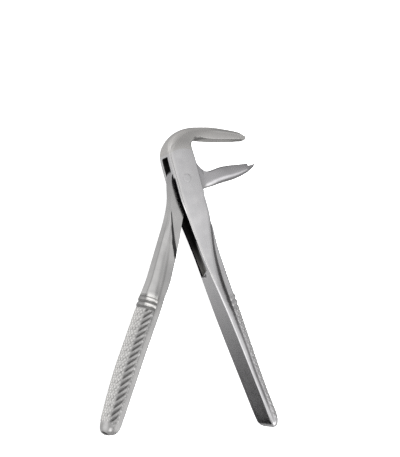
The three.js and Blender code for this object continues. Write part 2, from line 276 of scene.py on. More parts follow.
def through_points(rows, t):
    """Uniform Catmull-Rom through the rows."""
    last = len(rows) - 1
    i = np.minimum(t.astype(int), last - 1)
    w = (t - i)[:, None]
    a, b, c, d = (rows[np.clip(i + k, 0, last)] for k in (-1, 0, 1, 2))
    return 0.5 * (2 * b + (c - a) * w + (2 * a - 5 * b + 4 * c - d) * w ** 2
                  + (3 * b - a - 3 * c + d) * w ** 3)


def through_values(rows, t):
    """Monotone cubic through the rows, so that equal neighbours give a truly flat stretch."""
    last = len(rows) - 1
    rise = np.diff(rows, axis=0)
    edge = np.zeros((1, rows.shape[1]))
    before, after = np.vstack([edge, rise]), np.vstack([rise, edge])
    same = before * after > 0
    tangent = np.where(same, 2 * before * after / np.where(same, before + after, 1), 0)
    i = np.minimum(t.astype(int), last - 1)
    w = (t - i)[:, None]
    return ((2 * w ** 3 - 3 * w ** 2 + 1) * rows[i] + (w ** 3 - 2 * w ** 2 + w) * tangent[i]
            + (3 * w ** 2 - 2 * w ** 3) * rows[i + 1] + (w ** 3 - w ** 2) * tangent[i + 1])


def resample(rows, places, wanted):
    return np.stack([np.interp(wanted, places, column) for column in rows.T], axis=1)


def blurred(rows):
    """The rows, which are SAMPLE apart, averaged along the loft over about BLUR."""
    reach = int(3 * BLUR / SAMPLE)
    kernel = np.exp(-0.5 * (np.arange(-reach, reach + 1) * SAMPLE / BLUR) ** 2)
    kernel = kernel / kernel.sum()
    padded = np.pad(rows, ((reach, reach), (0, 0)), mode="edge")
    return np.stack([np.convolve(column, kernel, "valid") for column in padded.T], 1)


def sections(stations, spacing):
    """Fine sections along a loft. spacing gives the distance between rings at each of them."""
    rows = np.array(stations, float)
    t = np.linspace(0, len(rows) - 1, SAMPLES_PER_STATION * len(rows))
    fine = np.hstack([through_points(rows[:, :HALF], t), through_values(rows[:, HALF:], t)])
    centre = (fine[:, LEFT] + fine[:, RIGHT]) / 2
    length = np.append(0, np.cumsum(np.linalg.norm(np.diff(centre, axis=0), axis=1)))
    even = np.arange(0, length[-1], SAMPLE)
    fine = resample(fine, length, even)
    from_tip = even[-1] - TIP_KEPT - even
    share = smooth((even - END_KEPT) / END_FADE) * smooth(from_tip / TIP_FADE)
    fine = fine + (blurred(fine) - fine) * share[:, None]
    count = np.append(0, np.cumsum(SAMPLE / spacing(fine, even)[:-1]))
    rings = np.interp(np.linspace(0, count[-1], int(count[-1]) + 1), count, even)
    return resample(fine, even, rings)


def side_profile(half, wide, deep, dish, arris, notch, steps):
    """(inset, z) of the upper half of one side of each section, from the mid plane to the face.
    Narrow roundings are ground as flat bevels, and a notch may run along the inner end of one."""
    half, wide = half[:, None], wide[:, None]
    deep = np.minimum(deep[:, None], half * DEEPEST_ROUND)
    flat = half - deep
    share = np.linspace(0, 1, FLAT_STEPS + 1)[None, :]
    part = np.linspace(0, 1, steps + 1)[None, 1:]
    angle = part * math.pi / 2
    bevelled = 1 - smooth((wide - BEVEL_WIDTH) / BEVEL_FADE)
    notched = np.clip(notch / NOTCH_DEPTH, 0, 1)[:, None]
    bevel_rise = np.minimum(part / NOTCH_SHARE, 1) * notched + part * (1 - notched)
    inset = wide * ((1 - np.cos(angle)) * (1 - bevelled) + part * bevelled)
    rise = deep * (np.sin(angle) * (1 - bevelled) + bevel_rise * bevelled)
    dent = np.clip(1 - np.abs(part - NOTCH_SHARE) / NOTCH_SPAN, 0, 1)
    height = flat + rise - notch[:, None] * bevelled * dent
    facet = np.clip(part / FACET_SHARE, 0, 1)
    front = np.clip((part - FACET_SHARE) / (1 - FACET_SHARE), 0, 1)
    ridge = half * ARRIS_SHARE
    faceted_inset = ARRIS_INSET * facet + np.maximum(wide - ARRIS_INSET, LEAST_ROUND) * front
    faceted_height = ridge * facet + (half - ridge) * (1 - (1 - front) ** FRONT_CURVE)
    arris = arris[:, None]
    inset = inset + (faceted_inset - inset) * arris
    height = height + (faceted_height - height) * arris
    inset = np.hstack([dish[:, None] * (1 - share ** 2), inset])
    return inset, np.hstack([flat * share * (1 - arris), height])


def face_painted_shade(outside, roll, sink, arris, notch, outer_is_right):
    """Painted shade at the foot of the bulge, and in the box arm's valley and bevel line, or along the
    tenon arm's arris. outside is how far a point is outside the bulge's border."""
    column = np.arange(outside.shape[1])[None, :]
    foot = sink * np.exp(-((outside + FOOT_INSET) / FOOT_SPREAD) ** 2)
    if not outer_is_right:
        line = np.exp(-((column - ARRIS_COLUMN) / ARRIS_SPREAD) ** 2)
        return np.maximum(FOOT_PAINTED_SHADE * foot, ARRIS_PAINTED_SHADE * arris[:, None] * line)
    valley = smooth(outside / roll + 1) ** 2 * (outside <= 0)
    valley = VALLEY_PAINTED_SHADE * np.clip(sink / VALLEY_FULL_SINK, 0, 1) * valley
    line = np.exp(-((column - NOTCH_COLUMN) / NOTCH_SPREAD) ** 2)
    line = NOTCH_PAINTED_SHADE * np.clip(notch / NOTCH_DEPTH, 0, 1)[:, None] * line
    return np.maximum(np.maximum(foot, valley), line)


def loft_rings(fine, outer_is_right, rise, notch):
    """Every ring in order round the section, as across distance and z, with the signed distance round
    the outer side from its middle, that distance at the bulge's border, and the painted shade in its
    creases. On the box arm the face rolls down into a valley beside the bulge. On the tenon arm the
    whole margin lies lower. The bulge then climbs from it over the distance rise."""
    half, sink, arris = fine[:, HALF], fine[:, SINK][:, None], fine[:, ARRIS]
    none = np.zeros_like(half)
    left_side = half, fine[:, LEFT_WIDE], fine[:, LEFT_DEEP], fine[:, LEFT_DISH]
    right_side = half, fine[:, RIGHT_WIDE], fine[:, RIGHT_DEEP], fine[:, RIGHT_DISH]
    if outer_is_right:
        left = side_profile(*left_side, none, notch, INNER_STEPS)
        right = side_profile(*right_side, arris, none, OUTER_STEPS)
    else:
        left = side_profile(*left_side, arris, none, OUTER_STEPS)
        right = side_profile(*right_side, none, none, INNER_STEPS)
    width = np.linalg.norm(fine[:, RIGHT] - fine[:, LEFT], axis=1)[:, None]
    start, end = left[0][:, -1:], width - right[0][:, -1:]
    share = np.linspace(0, 1, FACE_STEPS + 1)[None, 1:-1]
    crowded = 1 - (1 - share) ** FACE_CROWDING
    face = start + (end - start) * (crowded if outer_is_right else 1 - crowded[:, ::-1])
    across = np.hstack([left[0], face, (width - right[0])[:, ::-1]])
    height = np.hstack([left[1], np.repeat(half[:, None], face.shape[1], 1), right[1][:, ::-1]])
    outside = across - end if outer_is_right else start - across
    roll = VALLEY_WIDTH * np.clip(sink, *VALLEY_SINKS)
    before = smooth(outside / roll + 1) ** VALLEY_CURVE if outer_is_right else 1.0
    after = np.clip(1 - outside / rise[:, None], 0, 1) ** 2
    sunk = sink * np.where(outside <= 0, before, after)
    middle, reach = (start + end) / 2, np.maximum(end - start, 0.1) / 2
    crown = CROWN * np.clip(reach / CROWN_REACH, 0, 1)
    crown = crown * np.clip(np.abs(across - middle) / reach, 0, 1) ** 2
    height = height - (sunk + crown) * np.clip(height / (half[:, None] - FACE_BAND), 0, 1)
    lengths = np.hypot(np.diff(across, axis=1), np.diff(height, axis=1))
    run = np.hstack([np.zeros((len(half), 1)), np.cumsum(lengths, axis=1)])
    rounding = run[:, -1:] - run if outer_is_right else run
    corner = FLAT_STEPS + OUTER_STEPS
    border = rounding[:, -1 - corner] if outer_is_right else rounding[:, corner]
    painted_shade = face_painted_shade(outside, roll, sink, arris, notch, outer_is_right)
    across, painted_shade = (np.hstack([half_ring, half_ring[:, -2:0:-1]]) for half_ring in (across, painted_shade))
    height, rounding = (np.hstack([half_ring, -half_ring[:, -2:0:-1]])
                        for half_ring in (height, rounding))
    return across, height, rounding, border[:, None], painted_shade


# ---------------------------------------------------------------- handle surface

# The knurl's start and end and the beads are distances from the handle's root. The fifth field weights
# the painted highlight on the beads and the flare before them, and also the flare's height and the
# painted shade around the beads, and fine_share is the share of the rounding that has only the fine
# hatching.
Surface = namedtuple("Surface", "start end pitch beads shine fine_share")
BOX_SURFACE = Surface(62.8, 126.5, 4.5, (57.8, 60.8), 0.25, 0.8)
TENON_SURFACE = Surface(7.3, 66.5, 3.5, (2.5, 5.4), 1, 0.45)


def groove(phase, pitch, width):
    """0 on the lands and 1 at the bottom of V grooves that are a pitch apart."""
    from_centre = np.abs((phase / pitch) % 1 - 0.5) * pitch
    return np.clip(1 - from_centre / (width / 2), 0, 1)


def knurl_relief(h, rounding, border, surface):
    """The knurl's height above the plain handle, its mask, painted shade in its grooves and a painted
    highlight on its outer side. h is the distance from the handle's root."""
    to_border = border - np.abs(rounding)
    mask = smooth(to_border / KNURL_MARGIN) * smooth((h - surface.start) / KNURL_START_FADE)
    mask = mask * smooth((surface.end - h) / KNURL_END_FADE)
    share = np.abs(rounding) / border
    front = smooth((share - surface.fine_share) / COARSE_FADE) * smooth(to_border / COARSE_MARGIN)
    along, around = h * math.sin(KNURL_ANGLE), rounding * math.cos(KNURL_ANGLE)
    coarse = groove(along + around, surface.pitch * math.sin(KNURL_ANGLE), COARSE_WIDTH) * front
    hatch = np.maximum(groove(along + around, HATCH_SPACING, HATCH_WIDTH),
                       groove(along - around, HATCH_SPACING, HATCH_WIDTH)) * (1 - HATCH_LOST * front)
    first, second = (np.sin(a * h + b * rounding) for a, b in WEAR_WAVES)
    hatch = hatch * (HATCH_KEPT + HATCH_WEAR * first * second)
    height = (KNURL_STAND - np.maximum(COARSE_DEPTH * coarse, HATCH_DEPTH * hatch)) * mask
    # Painted shade in the grooves.
    dark = mask * np.maximum(coarse, HATCH_PAINTED_SHADE * hatch)
    return height, mask, dark, mask * (1 - front) * (1 - share)


def handle_relief(h, rounding, border, surface):
    """Height of the beads, the flare before them and the knurl above the plain handle, and masks of
    knurl, painted shade in the grooves and around the beads, and painted highlight. h is the distance
    from the handle's root."""
    height, knurl, dark, outer_highlight = knurl_relief(h, rounding, border, surface)
    to_border = border - np.abs(rounding)
    in_margin = smooth(to_border / BEAD_EDGE)
    # Painted highlight on the beads, the flare and the outer side of the knurl.
    highlight = np.zeros_like(height)
    for place in surface.beads:
        bead = np.sqrt(np.clip(1 - ((h - place) / BEAD_HALF_WIDTH) ** 2, 0, 1)) * in_margin
        height = height + BEAD_HEIGHT * bead
        highlight = np.maximum(highlight, bead)
    before = surface.beads[0] - BEAD_HALF_WIDTH - FLARE_GAP - h
    flare = np.clip(1 - before / FLARE_LENGTH, 0, 1) ** FLARE_CURVE * (before > 0)
    flare_edge = smooth(to_border / KNURL_MARGIN)
    height = height + FLARE_HEIGHT * flare * surface.shine * flare_edge
    highlight = np.maximum(highlight, np.clip(flare * FLARE_HIGHLIGHT, 0, 1) * flare_edge) * surface.shine
    in_front = smooth((np.abs(rounding) / border - HIGHLIGHT_START) / HIGHLIGHT_FADE)
    highlight = highlight * (SIDE_HIGHLIGHT + (1 - SIDE_HIGHLIGHT) * in_front)
    highlight = np.maximum(highlight, outer_highlight)
    # Painted shade in the band before and between the beads, where there is no painted highlight.
    band = smooth((h - surface.beads[0] + BAND_START) / BAND_FADE)
    band = band * smooth((surface.start + KNURL_START_FADE - h) / BAND_FADE)
    band_painted_shade = BAND_PAINTED_SHADE + HIGHLIGHT_BAND_PAINTED_SHADE * surface.shine
    dark = np.maximum(dark, band_painted_shade * band * (1 - highlight) * in_margin)
    return height, knurl, dark, highlight


def wall_slot_shade(across, height, wall_top, h):
    """Painted shade: a dark strip on the cheeks' walls beside the slot. In front it starts as a point
    beside the slot."""
    wall = (across < ON_SIDE) & (np.abs(height) < wall_top + TOUCH)
    climb = np.clip((height - HALF_SLOT) / (wall_top - HALF_SLOT), 0, 1)
    in_front = smooth((SLOT_SHADE_END - h) / SLOT_SHADE_FADE) * smooth(h - SLOT_SHADE_TOP - SLOT_SHADE_TAPER * climb)
    start, full, fading, gone = BACK_SLOT_SHADE
    behind = smooth((h - start) / (full - start)) * smooth((gone - h) / (gone - fading))
    return wall * np.where(height > 0, in_front, behind)


def bevel_highlight_amount(shape, notch):
    """The ground bevel along the cheeks gets a faint painted highlight."""
    column = np.arange(shape[1])[None, :]
    from_edge = np.minimum(column, shape[1] - column)
    bevel = (from_edge > FLAT_STEPS) & (from_edge <= FLAT_STEPS + INNER_STEPS)
    return BEVEL_HIGHLIGHT * bevel * notch[:, None] / NOTCH_DEPTH


# ---------------------------------------------------------------- meshes

def placed(points):
    return np.asarray(points) * MM + np.array([0, 0, MID_PLANE])


def new_object(name, points, faces, material):
    mesh = bpy.data.meshes.new(name)
    mesh.from_pydata(placed(points).tolist(), [], faces)
    mesh.materials.append(material)
    made = bpy.data.objects.new(name, mesh)
    bpy.context.scene.collection.objects.link(made)
    return made


def set_light_and_knurl(piece, values):
    """Stores, for each point, its painted light from -1 for a painted highlight to 1 for painted shade
    on the slot walls, its knurl, and its painted shade in creases and grooves.
    """
    layer = piece.data.attributes.new("light_and_knurl", "FLOAT_VECTOR", "POINT")
    layer.data.foreach_set("vector", np.asarray(values, np.float32).ravel())


def tube_faces(rings, count):
    """Quads between the rings, and triangles from them to the two caps' middle points."""
    here = np.arange(rings - 1)[:, None] * count + np.arange(count)[None, :]
    beside = np.arange(rings - 1)[:, None] * count + (np.arange(count)[None, :] + 1) % count
    faces = np.stack([here, beside, beside + count, here + count], axis=2).reshape(-1, 4).tolist()
    middle, last = rings * count, (rings - 1) * count
    for k in range(count):
        after = (k + 1) % count
        faces.append([middle, after, k])
        faces.append([middle + 1, last + k, last + after])
    return faces


def arm(name, stations, root, direction, surface, outer_is_right, material):
    """A closed arm: rings through its stations, with the beads and the knurl on the handle."""
    towards = np.array([math.cos(math.radians(direction)), math.sin(math.radians(direction))])

    def from_root(fine):
        return ((fine[:, LEFT] + fine[:, RIGHT]) / 2 - np.array(root)) @ towards

    def spacing(fine, places):
        h = from_root(fine)
        near_beads = (h > surface.beads[0] - BEAD_REACH) & (h < surface.beads[-1] + BEAD_REACH)
        made = np.where(h > surface.end, END_RINGS, PLAIN_RINGS)
        made = np.where((h > surface.start - 1) & (h <= surface.end), KNURL_RINGS, made)
        made = np.where(near_beads, BEAD_RINGS, made)
        made = np.where(places > places[-1] - BEAK_LENGTH, BEAK_RINGS, made)
        return np.where(places > places[-1] - TIP_LENGTH, TIP_RINGS, made)

    fine = sections(stations, spacing)
    h = from_root(fine)
    rise = np.full_like(h, BOX_RISE)
    if not outer_is_right:
        rise = TENON_RISE + SHANK_RISE * smooth((SHANK_START - h) / SHANK_FADE)
    notch = NOTCH_DEPTH * smooth((NOTCH_END - h) / NOTCH_END_FADE)
    notch = notch * smooth((h - NOTCH_TOP) / NOTCH_TOP_FADE)
    across, height, rounding, border, painted_shade = loft_rings(fine, outer_is_right, rise, notch)
    relief, knurl, dark, highlight = handle_relief(h[:, None], rounding, border, surface)
    # Painted shade on the cheeks' walls beside the slot, and a painted highlight on the cheeks' bevel.
    slot_shade = np.zeros_like(across)
    if outer_is_right:
        slot_shade = wall_slot_shade(across, height, fine[:, HALF, None] - fine[:, LEFT_DEEP, None], h[:, None])
        highlight = np.maximum(highlight, bevel_highlight_amount(across.shape, notch))
    du = np.roll(across, -1, 1) - np.roll(across, 1, 1)
    dz = np.roll(height, -1, 1) - np.roll(height, 1, 1)
    size = np.maximum(np.hypot(du, dz), 1e-9)
    across = across - dz / size * relief
    height = height + du / size * relief
    left, right = fine[:, LEFT], fine[:, RIGHT]
    side = (right - left) / np.linalg.norm(right - left, axis=1)[:, None]
    xy = left[:, None, :] + side[:, None, :] * across[:, :, None]
    points = np.concatenate([xy, height[:, :, None]], axis=2)
    rings, count = points.shape[:2]
    points = points.reshape(-1, 3)
    middles = [points[:count].mean(0), points[-count:].mean(0)]
    made = new_object(name, np.vstack([points, middles]), tube_faces(rings, count), material)
    # Per point: painted shade on the slot walls less painted highlight, the knurl, and painted shade in
    # creases and grooves.
    light_and_knurl = np.stack([slot_shade - highlight, knurl, np.clip(dark + painted_shade, 0, 1)], axis=2).reshape(-1, 3)
    set_light_and_knurl(made, np.vstack([light_and_knurl, np.zeros((2, 3))]))
    return made


def prism(name, low_outline, high_outline, low, high, material, walls=(), wall_material=None):
    """A closed cutter between two outlines with as many points. Its sides whose numbers are in
    walls have a material of their own."""
    count = len(low_outline)
    points = [(x, y, low) for x, y in low_outline] + [(x, y, high) for x, y in high_outline]
    faces = [list(range(count))[::-1], list(range(count, 2 * count))]
    for k in range(count):
        after = (k + 1) % count
        faces.append([k, after, count + after, count + k])
    made = new_object(name, points, faces, material)
    set_light_and_knurl(made, np.zeros((len(points), 3)))
    if wall_material:
        made.data.materials.append(wall_material)
    for k in walls:
        made.data.polygons[2 + k].material_index = 1
    return made


def arc(radius, start, stop, steps):
    angles = np.radians(np.linspace(start, stop, steps + 1))
    return [(radius * math.cos(a), radius * math.sin(a)) for a in angles]


def hole_cutter(radius):
    """A round cutter through the whole joint, on the hinge axis."""
    bore = arc(radius, 0, 360, ROUND_STEPS)[:-1]
    return prism("hole_cutter", bore, bore, -2 * HALF_BOX, 2 * HALF_BOX, SLOT_SHADE_STEEL)


def cut(target, cutters):
    """Subtracts the cutters and removes them."""
    for cutter in cutters:
        modifier = target.modifiers.new("cut", "BOOLEAN")
        modifier.operation = "DIFFERENCE"
        modifier.solver = "MANIFOLD"
        modifier.material_mode = "TRANSFER"
        modifier.object = cutter
    graph = bpy.context.evaluated_depsgraph_get()
    mesh = bpy.data.meshes.new_from_object(target.evaluated_get(graph))
    target.modifiers.clear()
    target.data = mesh
    for cutter in cutters:
        bpy.data.objects.remove(cutter)


def carry_slot_shade(piece):
    """The cut leaves the lips of the slot without painted shade. They take the painted shade of the
    wall beside them.
    """
    mesh = piece.data
    spots = np.empty(3 * len(mesh.vertices))
    mesh.vertices.foreach_get("co", spots)
    spots = spots.reshape(-1, 3) / MM
    light_and_knurl = np.empty(len(spots) * 3)
    mesh.attributes["light_and_knurl"].data.foreach_get("vector", light_and_knurl)
    light_and_knurl = light_and_knurl.reshape(-1, 3)
    for side in (-1, 1):
        height = (spots[:, 2] - MID_PLANE / MM) * side
        lips = np.flatnonzero(np.abs(height - HALF_SLOT) < TOUCH)
        wall = np.flatnonzero((light_and_knurl[:, 0] > 0) & (height > HALF_SLOT + 2 * TOUCH))
        gap = np.linalg.norm(spots[lips, None, :2] - spots[None, wall, :2], axis=2)
        near = gap.min(axis=1) < LIP_REACH
        light_and_knurl[lips[near], 0] = light_and_knurl[wall[gap.argmin(axis=1)[near]], 0]
    mesh.attributes["light_and_knurl"].data.foreach_set("vector", light_and_knurl.ravel())


def hand_over(piece, body, node):
    """Shades a finished piece, and lets it stand for its CAD node."""
    piece.data.shade_smooth()
    piece.data.set_sharp_from_angle(angle=math.radians(SHARP_ANGLE))
    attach(piece, body)
    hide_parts(node)


# ---------------------------------------------------------------- materials

class Nodes:
    """A short way to write a node tree."""

    def __init__(self, owner):
        owner.use_nodes = True
        self.tree = owner.node_tree
        self.tree.nodes.clear()

    def add(self, kind, inputs=None, **settings):
        node = self.tree.nodes.new(kind)
        for key, value in settings.items():
            setattr(node, key, value)
        for key, value in (inputs or {}).items():
            if isinstance(value, bpy.types.NodeSocket):
                self.tree.links.new(value, node.inputs[key])
            else:
                node.inputs[key].default_value = value
        return node

    def math(self, operation, a, b=0.0, clamp=False):
        return self.add("ShaderNodeMath", {0: a, 1: b}, operation=operation, use_clamp=clamp).outputs[0]

    def ramp(self, value, low, high, to_low=0.0, to_high=1.0, curve="LINEAR"):
        inputs = {0: value, 1: low, 2: high, 3: to_low, 4: to_high}
        return self.add("ShaderNodeMapRange", inputs, interpolation_type=curve).outputs[0]

    def noise(self, vector, scale, detail=3.0, roughness=0.55):
        inputs = {"Vector": vector, "Scale": scale, "Detail": detail, "Roughness": roughness}
        return self.add("ShaderNodeTexNoise", inputs).outputs[0]

    def stretched(self, vector, scale):
        return self.add("ShaderNodeMapping", {"Vector": vector, "Scale": scale}).outputs[0]

    def mix(self, share, a, b, blend="MIX"):
        inputs = {0: share, 6: a, 7: b}
        return self.add("ShaderNodeMix", inputs, data_type="RGBA", blend_type=blend).outputs[2]


# Colours of painted light: near white for painted highlights, dark grey for painted shade in creases
# and grooves, black for painted shade on the slot walls.
HIGHLIGHT_WHITE = (0.98, 0.965, 0.945, 1)
PAINTED_SHADE, PAINTED_SHADE_COVER = (0.07, 0.068, 0.066, 1), 0.88
SLOT_SHADE = (0.003, 0.003, 0.0035, 1)
WORN_TINT, WORN_SHARE = (0.86, 0.86, 0.865, 1), 0.7
GRAIN = (9000.0, 700.0, 2500.0)  # how fine the ground grain is along x, y and z
CLOUDS, SPECKS, SLOT_CLOUDS = 160.0, 2600.0, 500.0  # how fine the noises are
ARCH_BLUR = 0.25  # of the line where the ground cheek ends, in mm
ABOVE_HINGE = (0.002, 0.006)  # between these y the arch begins to count
BEAK_CHANGE = (-0.01, 0.002)  # between these y the shank's tone turns into the beak's
SOFT_EDGE = 0.00018  # radius that the shading rounds every edge with


def steel_base(n, change, low, high, cloud, highlight, painted_shade, slot_shade):
    """The steel's colour: two tones, cloudy wear, then a painted highlight, painted shade in creases
    and grooves, and black painted shade on the slot walls over them.
    """
    base = n.mix(change, low, high)
    worn = n.mix(1.0, base, WORN_TINT, "MULTIPLY")
    base = n.mix(n.math("MULTIPLY", n.ramp(cloud, 0.35, 0.65), WORN_SHARE), base, worn)
    base = n.mix(highlight, base, HIGHLIGHT_WHITE)
    base = n.mix(n.math("MULTIPLY", painted_shade, PAINTED_SHADE_COVER), base, PAINTED_SHADE)
    return n.mix(slot_shade, base, SLOT_SHADE)


def steel(name, low, high, soft=False):
    """Satin steel whose tone changes from low to high: at the arch round the hinge where the ground
    cheek ends, or softly where the tenon arm's beak begins. The beads and the outer side of the knurl
    get a painted highlight, its grooves and the valleys a painted shade, and the walls beside the slot
    a black painted shade, which also takes away the metallic look."""
    made = bpy.data.materials.new(name)
    n = Nodes(made)
    place = n.add("ShaderNodeTexCoord").outputs["Object"]
    light_and_knurl = n.add("ShaderNodeAttribute", attribute_name="light_and_knurl").outputs["Vector"]
    shade_minus_highlight, knurl, painted_shade = n.add("ShaderNodeSeparateXYZ", {0: light_and_knurl}).outputs
    slot_shade = n.math("MAXIMUM", shade_minus_highlight, 0.0)
    highlight = n.math("MAXIMUM", n.math("MULTIPLY", shade_minus_highlight, -1.0), 0.0)
    x, y, _ = n.add("ShaderNodeSeparateXYZ", {0: place}).outputs
    if soft:
        change = n.ramp(y, *BEAK_CHANGE)
    else:
        radius = n.math("SQRT", n.math("ADD", n.math("MULTIPLY", x, x), n.math("MULTIPLY", y, y)))
        arch = n.ramp(radius, (CHEEK_TOP_RADIUS - ARCH_BLUR) * MM, (CHEEK_TOP_RADIUS + ARCH_BLUR) * MM)
        change = n.math("MULTIPLY", arch, n.ramp(y, *ABOVE_HINGE))
    ground = n.noise(n.stretched(place, GRAIN), 1.0)
    cloud = n.noise(place, CLOUDS, 4.0)
    speck = n.noise(place, SPECKS, 2.0)
    base = steel_base(n, change, low, high, cloud, highlight, painted_shade, slot_shade)
    rough = n.math("ADD", n.ramp(ground, 0.3, 0.7, 0.22, 0.3), n.ramp(cloud, 0.3, 0.7, -0.02, 0.03))
    rough = n.math("ADD", rough, n.math("MULTIPLY", knurl, n.ramp(speck, 0.35, 0.65, -0.1, 0.06)))
    relief = n.math("ADD", n.math("MULTIPLY", ground, 0.2),
                    n.math("MULTIPLY", n.math("MULTIPLY", knurl, speck), 2.2))
    edge = n.add("ShaderNodeBevel", {"Radius": SOFT_EDGE}, samples=6).outputs[0]
    bump = n.add("ShaderNodeBump", {"Height": relief, "Strength": 0.35, "Distance": 0.00012,
                                    "Normal": edge}).outputs[0]
    metal_share = n.math("SUBTRACT", 1.0, slot_shade, clamp=True)
    shader = n.add("ShaderNodeBsdfPrincipled", {"Base Color": base, "Metallic": metal_share,
                                                "Specular IOR Level": n.math("MULTIPLY", metal_share, 0.5),
                                                "Roughness": rough, "Normal": bump})
    n.add("ShaderNodeOutputMaterial", {"Surface": shader.outputs[0]})
    return made


def slot_shade_steel(name, dark_above, pale_below):
    """Painted shade for the walls of the slot, the hole and the shoulder: nearly black, turning paler
    towards the handles between two places.
    """
    made = bpy.data.materials.new(name)
    n = Nodes(made)
    place = n.add("ShaderNodeTexCoord").outputs["Object"]
    cloud = n.noise(place, SLOT_CLOUDS, 5.0)
    base = n.mix(n.ramp(cloud, 0.3, 0.7), (0.025, 0.025, 0.027, 1), (0.05, 0.049, 0.047, 1))
    y = n.add("ShaderNodeSeparateXYZ", {0: place}).outputs[1]
    base = n.mix(n.ramp(y, dark_above, pale_below), base, (0.3, 0.295, 0.285, 1))
    bump = n.add("ShaderNodeBump", {"Height": cloud, "Strength": 0.3, "Distance": 0.0001}).outputs[0]
    shader = n.add("ShaderNodeBsdfPrincipled", {"Base Color": base, "Metallic": 0.8,
                                                "Roughness": n.ramp(cloud, 0.3, 0.7, 0.4, 0.55),
                                                "Normal": bump})
    n.add("ShaderNodeOutputMaterial", {"Surface": shader.outputs[0]})
    return made


CHEEK, NECK = (0.68, 0.673, 0.683, 1), (0.6, 0.586, 0.572, 1)
SHANK, BEAK = (0.55, 0.543, 0.538, 1), (0.395, 0.388, 0.399, 1)
BODY_STEEL = steel("satin_steel_body", CHEEK, NECK)
TENON_STEEL = steel("satin_steel_tenon", SHANK, BEAK, soft=True)
RIVET_STEEL = steel("rivet_steel_body", CHEEK, NECK)
# Black painted shade for the walls of the slot and the hole, and for the tenon arm's shoulder wall.
SLOT_SHADE_STEEL = slot_shade_steel("slot_shade_steel", -0.034, -0.046)
SHOULDER_SHADE_STEEL = slot_shade_steel("shoulder_shade_steel", -0.041, -0.05)


# ---------------------------------------------------------------- the pieces

def build_box_arm():
    """The slot is open all along the left and ends at the right in a pocket. Its lower end wall
    is slanted, so its outline in front differs from the one behind."""
    made = arm("box_arm_visual", BOX_ARM, BOX_ROOT, BOX_DIRECTION, BOX_SURFACE, True, BODY_STEEL)
    top = arc(SLOT_TOP_RADIUS, 35, 128, 60)
    right = [(10.4, -34), (7.6, -22), (7.6, -11), (10, -7.4), (18, -6.8)]
    back_outline = [*top, (-22, 4.6), (-22, -51.5), (13.8, -51.5), (16.5, -49), *right]
    front_outline = [*top, (-22, 9.6), (-22, -47.6), (13.6, -47.6), (15.3, -45.4), *right]
    slot = prism("slot_cutter", back_outline, front_outline, -HALF_SLOT, HALF_SLOT, SLOT_SHADE_STEEL)
    cut(made, [slot, hole_cutter(PIN_RADIUS + HAIRLINE)])
    carry_slot_shade(made)
    hand_over(made, "box_side", "box_arm")


def build_tenon_arm():
    """The tenon is thinned on both sides. In front the shoulder beside it is a slanted wall."""
    made = arm("tenon_arm_visual", TENON_ARM, TENON_ROOT, TENON_DIRECTION, TENON_SURFACE, False,
               TENON_STEEL)
    turned = [*arc(SHOULDER_RADIUS, -40, 42, 40), *arc(CROWN_CLEARANCE, 55, 170, 50),
              *arc(SHOULDER_RADIUS, 190, 226, 18)]
    back_outline = turned + [(-8.6, -17.6), (-8.3, -23), (-7.5, -32.8), (-6.3, -42), (-5, -50),
                             (14, -50)]
    wall_foot = turned + [(-7.3, -17.7), (-6.4, -25), (-5.3, -32.7), (-3.9, -39), (-2.8, -44),
                          (-2.2, -46), (14, -46)]
    wall_top = turned + [(-9.4, -18.2), (-11.3, -23.5), (-11.6, -30.1), (-11.7, -37.5),
                         (-10.9, -44.8), (-9.4, -52.1), (14, -52.1)]
    walls = range(len(turned), len(wall_foot) - 1)
    front = prism("front_cutter", wall_foot, wall_top, HALF_TENON, HALF_BOX + 0.2, TENON_STEEL, walls,
                  SHOULDER_SHADE_STEEL)
    back = prism("back_cutter", back_outline, back_outline, -2 * HALF_BOX, -HALF_TENON, TENON_STEEL)
    cut(made, [front, back, hole_cutter(TENON_HOLE)])
    hand_over(made, "tenon_side", "tenon_arm")


def rivet_profile():
    """(radius, z) down the rivet's side, with a small rounded rim at each end."""
    rim, rim_steps = 0.04, 4
    upper = [(PIN_RADIUS * 0.55, HALF_BOX), (PIN_RADIUS - rim, HALF_BOX)]
    for k in range(1, rim_steps + 1):
        angle = math.radians(90 * k / rim_steps)
        upper.append((PIN_RADIUS - rim + rim * math.sin(angle), HALF_BOX - rim + rim * math.cos(angle)))
    upper += [(PIN_RADIUS, HALF_BOX * share) for share in (0.6, 0.2)]
    return upper + [(r, -z) for r, z in reversed(upper)]


def build_rivet():
    """The rivet: a turned bar whose ends are ground flush with the crowned cheeks."""
    profile = rivet_profile()
    points = [(0, 0, HALF_BOX), (0, 0, -HALF_BOX)]
    for radius, z in profile:
        for k in range(ROUND_STEPS):
            angle = 2 * math.pi * k / ROUND_STEPS
            points.append((radius * math.cos(angle), radius * math.sin(angle), z))
    faces = []
    for k in range(ROUND_STEPS):
        after = (k + 1) % ROUND_STEPS
        faces.append([0, 2 + k, 2 + after])
        for band in range(len(profile) - 1):
            a, b = 2 + band * ROUND_STEPS, 2 + (band + 1) * ROUND_STEPS
            faces.append([a + k, b + k, b + after, a + after])
        a = 2 + (len(profile) - 1) * ROUND_STEPS
        faces.append([1, a + after, a + k])
    across = math.radians(BOX_DIRECTION + 90)
    crowned = []
    for x, y, z in points:
        out = math.cos(across) * x + math.sin(across) * y
        crowned.append((x, y, z * (1 - CROWN / HALF_BOX * out ** 2 / CROWN_REACH ** 2)))
    made = new_object("pivot_pin_visual", crowned, faces, RIVET_STEEL)
    set_light_and_knurl(made, np.zeros((len(crowned), 3)))
    hand_over(made, "box_side", "pivot_pin")


build_box_arm()
build_tenon_arm()
build_rivet()


# ---------------------------------------------------------------- stage

TARGET = Vector((0.0113, -0.025, MID_PLANE))  # the middle of the view
FLOOR_SIZE, FLOOR_GAP = 4.0, 0.0002
FLOOR_WHITE, FLOOR_GLOW = 0.97, 0.72
BACKGROUND = 0.95


